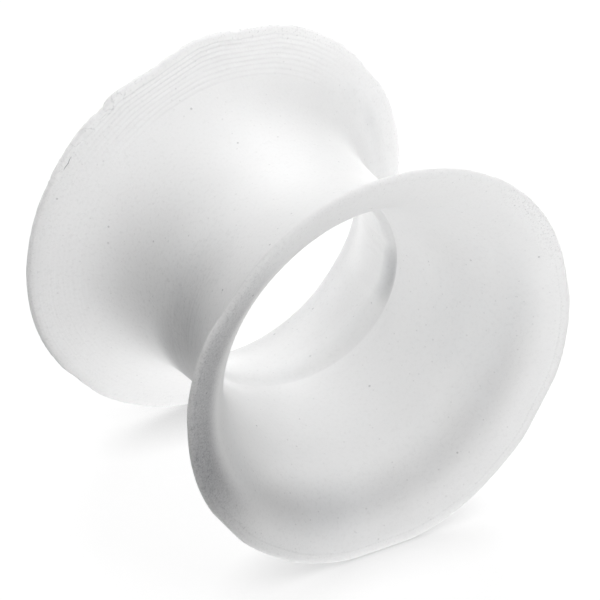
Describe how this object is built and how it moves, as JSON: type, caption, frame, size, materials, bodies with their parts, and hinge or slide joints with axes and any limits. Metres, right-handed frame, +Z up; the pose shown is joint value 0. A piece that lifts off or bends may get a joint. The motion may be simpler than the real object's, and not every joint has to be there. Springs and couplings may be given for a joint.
{
  "type": "double-flared silicone ear tunnel",
  "caption": "Hollow ear gauge plug: a soft, milky, thin-walled tunnel that flares at both ends into a trumpet lip, with an open bore through it.",
  "frame": {"origin": "on the surface that the tunnel lies on, below the middle of its throat", "axes": "+Y along the bore, from the front flare towards the back flare; +Z up; +X to the right of a person who looks into the front flare"},
  "size_m": [0.016, 0.012, 0.0159],
  "materials": {
    "milky_silicone": "satin, milky and translucent"
  },
  "bodies": {
    "root": {"silicone_tunnel": "milky_silicone"}
  },
  "joints": []
}
